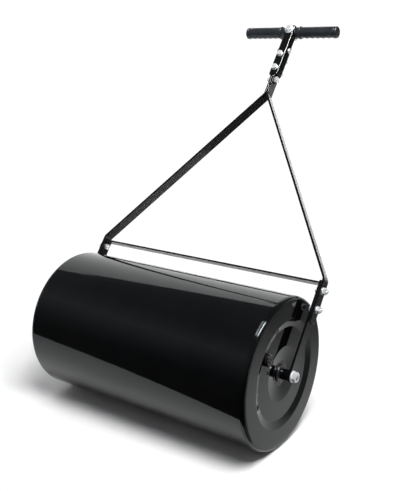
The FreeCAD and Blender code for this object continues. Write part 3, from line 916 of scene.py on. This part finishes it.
def side_fasteners():
    """Cross bolt through the bracket's flanges and both strips, and one that clamps the strips below."""
    height = levels("side_nut")[0]
    half = extent("handle_bracket", SLOPE)[1].x
    low, high = extent("side_bolt", SLOPE)
    shank, pitch = M8[0], M8[4]
    shape = placed(button_head((high.y - low.y) / 2, high.x - half), (1, 0, 0), (half, 0, height))
    plain = [(-half, 0.01), (-half, shank * 0.97), (half + 0.3, shank * 0.97), (half + 0.3, 0.01)]
    shape.put(lathe(plain, 40), Matrix.Translation((0, 0, height)))
    shape.put(thread(shank, pitch, half - 0.5, -low.x, 40), along((-1, 0, 0), (0, 0, height)))
    zinc_piece("side_bolt_steel", shape, "side_bolt")
    ring = placed(washer(*M8_WASHER), (-1, 0, 0), (-half, 0, height))
    zinc_piece("side_washer_steel", ring, "side_washer")
    side_nut = placed(nut(M8, 0.3), (-1, 0, 0), (-half - M8_WASHER[2], 0, height))
    zinc_piece("side_nut_steel", side_nut, "side_nut")

    height = levels("column_nut")[0]
    start = -extent("column_nut", SLOPE)[1].x
    end = -extent("column_bolt", SLOPE)[0].x
    column_bolt = placed(bolt(M10, end + start), (-1, 0, 0), (start, 0, height))
    zinc_piece("column_bolt_steel", column_bolt, "column_bolt")
    zinc_piece("column_nut_steel", placed(nut(M10), (-1, 0, 0), (-start, 0, height)), "column_nut")


def handle_fasteners():
    """Large bolt and washer through the bracket, the handle tube and the block behind it."""
    height = levels("handle_nut")[0]
    thick = 3.0
    front = extent("handle_bracket", SLOPE)[0].y - thick
    low = extent("handle_nut", SLOPE)[0]
    end = extent("handle_bolt", SLOPE)[1].y
    handle_bolt = placed(bolt(M10, end - front, 0.35), (0, 1, 0), (0, front, height))
    zinc_piece("handle_bolt_steel", handle_bolt, "handle_bolt")
    rings = placed(washer(12.0, 5.3, thick), (0, 1, 0), (0, front, height))
    rings.put(washer(8.0, 5.3, 1.6), along((0, 1, 0), (0, low.y - 1.6, height)))
    zinc_piece("handle_washer_pair", rings, "handle_washers")
    zinc_piece("handle_nut_steel", placed(nut(M10, 0.6), (0, 1, 0), (0, low.y, height)), "handle_nut")


# ---------------------------------------------------------------- handle

def handle_bracket():
    """Pressed U-channel, open at the back. Its flanges are rounded about the handle tube at the top."""
    low, high = extent("handle_bracket", SLOPE)
    half, front, wall = high.x, low.y, 2.5
    back = 6.0
    handle = (SLOPE.inverted() @ middle("handle_tube"))
    top_r = high.z - handle.z

    def back_at(height):
        over = sqrt_or_zero(top_r ** 2 - (height - handle.z) ** 2) if height > handle.z - top_r else 0
        if height > handle.z:
            return handle.y + over
        return max(back, handle.y + over)

    def section(height, shrink):
        rear = back_at(height) - shrink
        outer, inner = half - shrink, half - wall + shrink
        web = front + wall - shrink
        corners = [
            (outer, rear, 0.8 - shrink), (outer, front + shrink, 3.5), (-outer, front + shrink, 3.5),
            (-outer, rear, 0.8 - shrink), (-inner, rear, 0.8 - shrink), (-inner, web, 1.2), (inner, web,
                                                                                             1.2),
            (inner, rear, 0.8 - shrink),
        ]
        return rounded(corners, 5)

    arc = [handle.z + top_r * sin(radians(a)) for a in range(-58, 88, 4)] + [high.z - 0.05]
    heights = [(low.z + 0.05, 0.5), (low.z + 0.2, 0.2), (low.z + 0.6, 0.0)]
    heights += [(h, 0.0) for h in (730, 760, 790, 815)] + [(h, 0.0) for h in arc]
    heights += [(high.z - 0.02, 0.2), (high.z, 0.45)]
    points = []
    count = len(section(low.z, 0))
    for height, shrink in heights:
        points += [(a, b, height) for a, b in section(height, shrink)]
    faces = ring_faces(len(heights), count) + end_caps(count, len(points))
    painted_piece("handle_bracket_channel", Shape().add(points, faces), "handle_bracket")


def handle_saddle():
    """Block with a hollow front, between the handle tube and its nut."""
    low, high = extent("handle_saddle", SLOPE)
    handle = (SLOPE.inverted() @ middle("handle_tube"))
    tube_r = extent("handle_tube", SLOPE)[1].z - handle.z
    reach = asin(min(1.0, (high.z - low.z) / 2 / tube_r * 0.98))
    groove = []
    for n in range(13):
        angle = -reach + 2 * reach * n / 12
        groove.append((handle.y + tube_r * cos(angle), handle.z + tube_r * sin(angle)))
    outline = groove + rounded([(groove[-1][0], high.z, 0.4), (high.y, high.z, 1.5), (high.y, low.z, 1.5),
                                (groove[0][0], low.z, 0.4)], 4)
    points = [(x, a, b) for x in (low.x, high.x) for a, b in outline]
    count = len(outline)
    faces = ring_faces(2, count) + end_caps(count, len(points))
    painted_piece("handle_saddle_block", Shape().add(points, faces), "handle_saddle")


def handle_tube():
    """Plain tube inside both grips."""
    low, high = extent("handle_tube", SLOPE)
    at = SLOPE.inverted() @ middle("handle_tube")
    outer = (high.z - low.z) / 2
    shape = tube_shape(outer, outer - 2, low.x, high.x, 0.6, 96)
    make_piece("handle_tube_steel", shape, SLOPE @ Matrix.Translation((0, at.y, at.z)), "frame",
               BAR_ENAMEL, ["handle_tube"])


def grips():
    """Moulded grips: collar, finger hollows below, a shallow groove near the end, closed rounded end."""
    low, high = extent("grip_right", SLOPE)
    at = SLOPE.inverted() @ middle("handle_tube")
    collar_r, neck_r, body_r = 15.8, 13.8, 14.3
    start, end = low.x, high.x
    collar_from, collar_to = 25.0, 29.0
    fingers, pitch, hollow_r, depth, first = 6, 15.0, 11.0, 2.2, 38.0
    towards_ground = lean()

    def radius_at(x):
        if x < collar_from:
            return neck_r - 0.5 * max(0.0, 1 - (x - start) / 0.8) ** 2
        if x < collar_to:
            inside = min(x - collar_from, collar_to - x, 1.5)
            return collar_r - 1.5 + sqrt_or_zero(1.5 ** 2 - (1.5 - inside) ** 2)
        r = body_r - 0.35 * max(0.0, 1 - (x - collar_to) / 2)
        cap = x - (end - 4.0)
        if cap > 0:
            r = body_r - 4.0 + sqrt_or_zero(4.0 ** 2 - cap ** 2)
        if abs(x - (end - 8.0)) < 0.8:
            r -= 0.45 * cos((x - end + 8.0) / 0.8 * pi / 2)
        return r

    def point(x, angle):
        """angle 0 is straight up the slope, and pi is the fingers' side."""
        r = radius_at(x)
        down = -cos(angle - towards_ground)
        for n in range(fingers):
            away = x - (first + pitch * n)
            if abs(away) < hollow_r * 0.68 and down > 0:
                cut = body_r - depth + hollow_r - sqrt_or_zero(hollow_r ** 2 - away ** 2)
                limit = cut / max(down, 0.05)
                soft = 0.2
                r = r - soft * softplus((r - limit) / soft)
        return (x, -r * sin(angle), r * cos(angle))

    xs = [start + 0.2 * n for n in range(5)]
    for stop, step in ((collar_from - 0.1, 2.0), (collar_to + 2, 0.25), (end - 9, 0.8), (end - 0.02, 0.25)):
        x = xs[-1] + step
        while x < stop:
            xs.append(x)
            x += step
    xs.append(end)
    around = 120
    points = [point(x, tau * n / around) for x in xs for n in range(around)]
    faces = ring_faces(len(xs), around)
    faces.append(list(range(len(points) - around, len(points))))
    bore = len(points)
    points += [(start, -11.05 * sin(tau * n / around), 11.05 * cos(tau * n / around)) for n in range(around)]
    points += [(end - 9, -11.05 * sin(tau * n / around),
                11.05 * cos(tau * n / around)) for n in range(around)]
    for n in range(around):
        m = (n + 1) % around
        faces.append((n, m, bore + m, bore + n))
        faces.append((bore + n, bore + m, bore + around + m, bore + around + n))
    faces.append(list(range(bore + around, bore + 2 * around)))
    grip = Shape().add(points, faces)
    place = SLOPE @ Matrix.Translation((0, at.y, at.z))
    for side, turn in SIDES:
        make_piece("grip_moulding_" + side, Shape().put(grip, turn), place, "frame", GRIP,
                   ["grip_" + side], weighted=False)


def softplus(value):
    """Smooth stand-in for max(0, value)."""
    return value if value > 20 else log(1 + exp(value))


# ---------------------------------------------------------------- studio

CAMERA_AZIMUTH = radians(34.739)
CAMERA_ELEVATION = radians(15.431)
CAMERA_FROM_AXLE = Vector((0.8953, -1.1655, 0.6295))
CAMERA_LENS = 52.10

WALL_TOP = 1.36               # metres
WALL_LOW = 0.67
WALL_STEP = (0.40, 0.95)      # where the wall's top slopes down, sideways in the studio
WALL_GLOW = 0.45
FLOOR_LEFT = -0.85            # how far the floor is seen to the left
# how dense the painted reflection shade over the floor is: near the roller's end, far from it, and to the
# front
REFLECTION_SHADE_NEAR = 0.30
REFLECTION_SHADE_FAR = 0.78
REFLECTION_SHADE_FRONT = 0.80


def camera():
    """The camera, at the photograph's viewing angle."""
    data = bpy.data.cameras.new("camera")
    data.lens = CAMERA_LENS
    data.sensor_width = 36
    data.clip_end = 60
    obj = bpy.data.objects.new("camera", data)
    back = Vector((
        sin(CAMERA_AZIMUTH) * cos(CAMERA_ELEVATION),
        -cos(CAMERA_AZIMUTH) * cos(CAMERA_ELEVATION),
        sin(CAMERA_ELEVATION)))
    obj.location = AXLE + CAMERA_FROM_AXLE
    obj.rotation_mode = "QUATERNION"
    obj.rotation_quaternion = (-back).to_track_quat("-Z", "Y")
    bpy.context.scene.collection.objects.link(obj)
    bpy.context.scene.camera = obj


def studio_place(side, depth, height):
    """A place in the studio, in metres: sideways and away as the camera sees it, from below the axle."""
    right = Vector((cos(CAMERA_AZIMUTH), sin(CAMERA_AZIMUTH), 0))
    away = Vector((-sin(CAMERA_AZIMUTH), cos(CAMERA_AZIMUTH), 0))
    return right * side + away * depth + Vector((0, 0, height))


def paper_material():
    """White paper, matt, that can't be seen from behind."""
    material = bpy.data.materials.new("white_paper")
    material.use_nodes = True
    tree = material.node_tree
    shader = tree.nodes["Principled BSDF"]
    shader.inputs["Base Color"].default_value = (0.86, 0.86, 0.86, 1)
    shader.inputs["Roughness"].default_value = 0.9
    shader.inputs["Specular IOR Level"].default_value = 0.1
    shader.inputs["Emission Color"].default_value = (1, 1, 1, 1)
    geometry = add_node(tree, "NewGeometry")
    height = add_node(tree, "SeparateXYZ", links={"Vector": geometry.outputs["Position"]})
    glow = add_node(tree, "MapRange", {"From Min": 0.02, "From Max": 0.45, "To Max": WALL_GLOW},
                    {"Value": height.outputs["Z"]})
    glow.interpolation_type = "SMOOTHSTEP"
    tree.links.new(glow.outputs["Result"], shader.inputs["Emission Strength"])
    clear = add_node(tree, "BsdfTransparent")
    mix = add_node(tree, "MixShader", links={0: geometry.outputs["Backfacing"], 1: shader.outputs["BSDF"],
                                             2: clear.outputs["BSDF"]})
    tree.links.new(mix.outputs["Shader"], tree.nodes["Material Output"].inputs["Surface"])
    return material


def sweep():
    """Floor of white paper that turns up into a wall behind the object, lower on the right.

    The camera sees only the floor around the roller. The rest is there for the light it gives and
    for reflections.
    """
    profile = rounded([(-0.30, 0, 0), (0.80, 0, 0.30), (0.86, 1, 0)], 16, closed=False)
    columns = [(-3.0, WALL_TOP), (FLOOR_LEFT, WALL_TOP), (WALL_STEP[0], WALL_TOP), (WALL_STEP[1], WALL_LOW),
               (3.0, WALL_LOW)]
    paper = paper_material()
    for name, rows, across in (("paper_floor", profile[:2], columns[1:4]),
                               ("paper_beside_left", profile[:2], columns[:2]),
                               ("paper_beside_right", profile[:2], columns[3:]),
                               ("paper_wall", profile[1:], columns)):
        wide = len(across)
        points, faces = [], []
        for depth, height in rows:
            for side, top in across:
                skew = -0.27 * side if depth < -0.2 else 0.0
                lift = top if height > 0.99 else height
                points.append(studio_place(side, depth + skew, lift))
        for row in range(len(rows) - 1):
            for n in range(wide - 1):
                at = row * wide + n
                faces.append((at, at + 1, at + wide + 1, at + wide))
        mesh = bpy.data.meshes.new(name)
        mesh.from_pydata(points, [], faces)
        mesh.materials.append(paper)
        obj = bpy.data.objects.new(name, mesh)
        obj.visible_camera = name == "paper_floor"
        bpy.context.scene.collection.objects.link(obj)


def reflection_shade_material():
    """Painted shade for reflections: see-through black, denser to the front and further from the roller's
    end.
    """
    material = bpy.data.materials.new("painted_reflection_shade")
    material.use_nodes = True
    tree = material.node_tree
    tree.nodes.remove(tree.nodes["Principled BSDF"])
    place = add_node(tree, "TexCoord").outputs["Object"]
    split = add_node(tree, "SeparateXYZ", links={"Vector": place})
    back = add_node(tree, "Math", {1: 0.15}, {0: split.outputs["Y"]})
    bearing = add_node(tree, "Math", links={0: split.outputs["X"], 1: back.outputs[0]})
    bearing.operation = "ARCTAN2"
    reach = add_node(tree, "VectorMath", links={0: place})
    reach.operation = "LENGTH"
    densest = add_node(tree, "Math")
    densest.operation = "MAXIMUM"
    for n, (value, start, end, low, high) in enumerate((
            (bearing.outputs[0], radians(27), radians(39), 0.0, REFLECTION_SHADE_FRONT),
            (reach.outputs["Value"], 0.15, 0.75, REFLECTION_SHADE_NEAR, REFLECTION_SHADE_FAR))):
        part = add_node(tree, "MapRange",
                        {"From Min": start, "From Max": end, "To Min": low, "To Max": high},
                        {"Value": value})
        part.interpolation_type = "SMOOTHSTEP"
        tree.links.new(part.outputs["Result"], densest.inputs[n])
    # clear mixed with black by density: painted shade that darkens what the end disc reflects
    clear = add_node(tree, "BsdfTransparent")
    black = add_node(tree, "BsdfDiffuse", {"Color": (0, 0, 0, 1)})
    mix = add_node(tree, "MixShader", links={0: densest.outputs[0], 1: clear.outputs["BSDF"],
                                             2: black.outputs["BSDF"]})
    tree.links.new(mix.outputs["Shader"], tree.nodes["Material Output"].inputs["Surface"])
    return material


def reflection_shade_sheet():
    """Painted shade over the floor at the filler's end: a see-through black sheet that only shows in
    reflections, where it darkens the floor reflected in the end disc.
    """
    mesh = bpy.data.meshes.new("reflection_shade_sheet")
    mesh.from_pydata([(0.012, -1.0, 0), (3.0, -1.0, 0), (3.0, 3.0, 0), (0.012, 3.0, 0)], [], [(0, 1, 2, 3)])
    mesh.materials.append(reflection_shade_material())
    obj = bpy.data.objects.new("reflection_shade_sheet", mesh)
    obj.location = (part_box("end_disc_right")[1].x, 0, 0.002)
    obj.visible_camera = False
    obj.visible_diffuse = False
    obj.visible_shadow = False
    bpy.context.scene.collection.objects.link(obj)


def area_light(name, direction, distance, size, power):
    """Lamp seen from the axle in a direction, facing it. The first of its two sizes is the one along Y."""
    data = bpy.data.lights.new(name, "AREA")
    data.shape = "RECTANGLE"
    data.size, data.size_y = size
    data.energy = power
    obj = bpy.data.objects.new(name, data)
    towards = Vector(direction).normalized()
    obj.location = AXLE + towards * distance
    obj.rotation_mode = "QUATERNION"
    obj.rotation_quaternion = (-towards).to_track_quat("-Z", "Y")
    bpy.context.scene.collection.objects.link(obj)
    return obj


def world():
    """White where the camera looks past the paper. Everything else sees a dim room, darkest low down."""
    scene_world = bpy.data.worlds.new("studio")
    bpy.context.scene.world = scene_world
    scene_world.use_nodes = True
    tree = scene_world.node_tree
    room = tree.nodes["Background"]
    place = add_node(tree, "TexCoord").outputs["Generated"]
    split = add_node(tree, "SeparateXYZ", links={"Vector": place})
    height = add_node(tree, "MapRange", {"From Min": -1}, {"Value": split.outputs["Z"]})
    ramp = add_node(tree, "ValToRGB", links={"Fac": height.outputs["Result"]})
    stops = [(0.0, 0.03), (0.5, 0.06), (0.62, 0.15), (0.76, 0.32), (0.88, 0.15), (1.0, 0.12)]
    elements = ramp.color_ramp.elements
    while len(elements) < len(stops):
        elements.new(0.5)
    for element, (at, grey) in zip(elements, stops):
        element.position = at
        element.color = (grey, grey, grey * 1.04, 1)
    tree.links.new(ramp.outputs["Color"], room.inputs["Color"])
    white = add_node(tree, "Background", {"Color": (1.05, 1.05, 1.05, 1)})
    eye = add_node(tree, "LightPath")
    mix = add_node(tree, "MixShader", links={0: eye.outputs["Is Camera Ray"], 1: room.outputs["Background"],
                                             2: white.outputs["Background"]})
    tree.links.new(mix.outputs["Shader"], tree.nodes["World Output"].inputs["Surface"])


def lights():
    """A large soft lamp overhead for the shadows, and a far narrow one that only makes the highlights."""
    soft = area_light("soft_overhead", (0.38, -0.24, 0.88), 1.9, (0.95, 0.95), 52)
    soft.visible_glossy = False
    flash = area_light("narrow_flash", (0.45, -0.13, 0.88), 6.0, (2.6, 0.36), 870)
    flash.visible_diffuse = False


camera()
sweep()
reflection_shade_sheet()
world()
lights()
bpy.context.scene.view_settings.view_transform = "Standard"

drum_shell()
end_discs()
axle_tube()
bushes()
filler_neck()
filler_seal()
filler_plug()
axle()
lower_arms()
upper_bars()
crossbar()
crossbar_welds()
arm_fasteners()
front_fasteners()
side_fasteners()
handle_fasteners()
handle_bracket()
handle_saddle()
handle_tube()
grips()
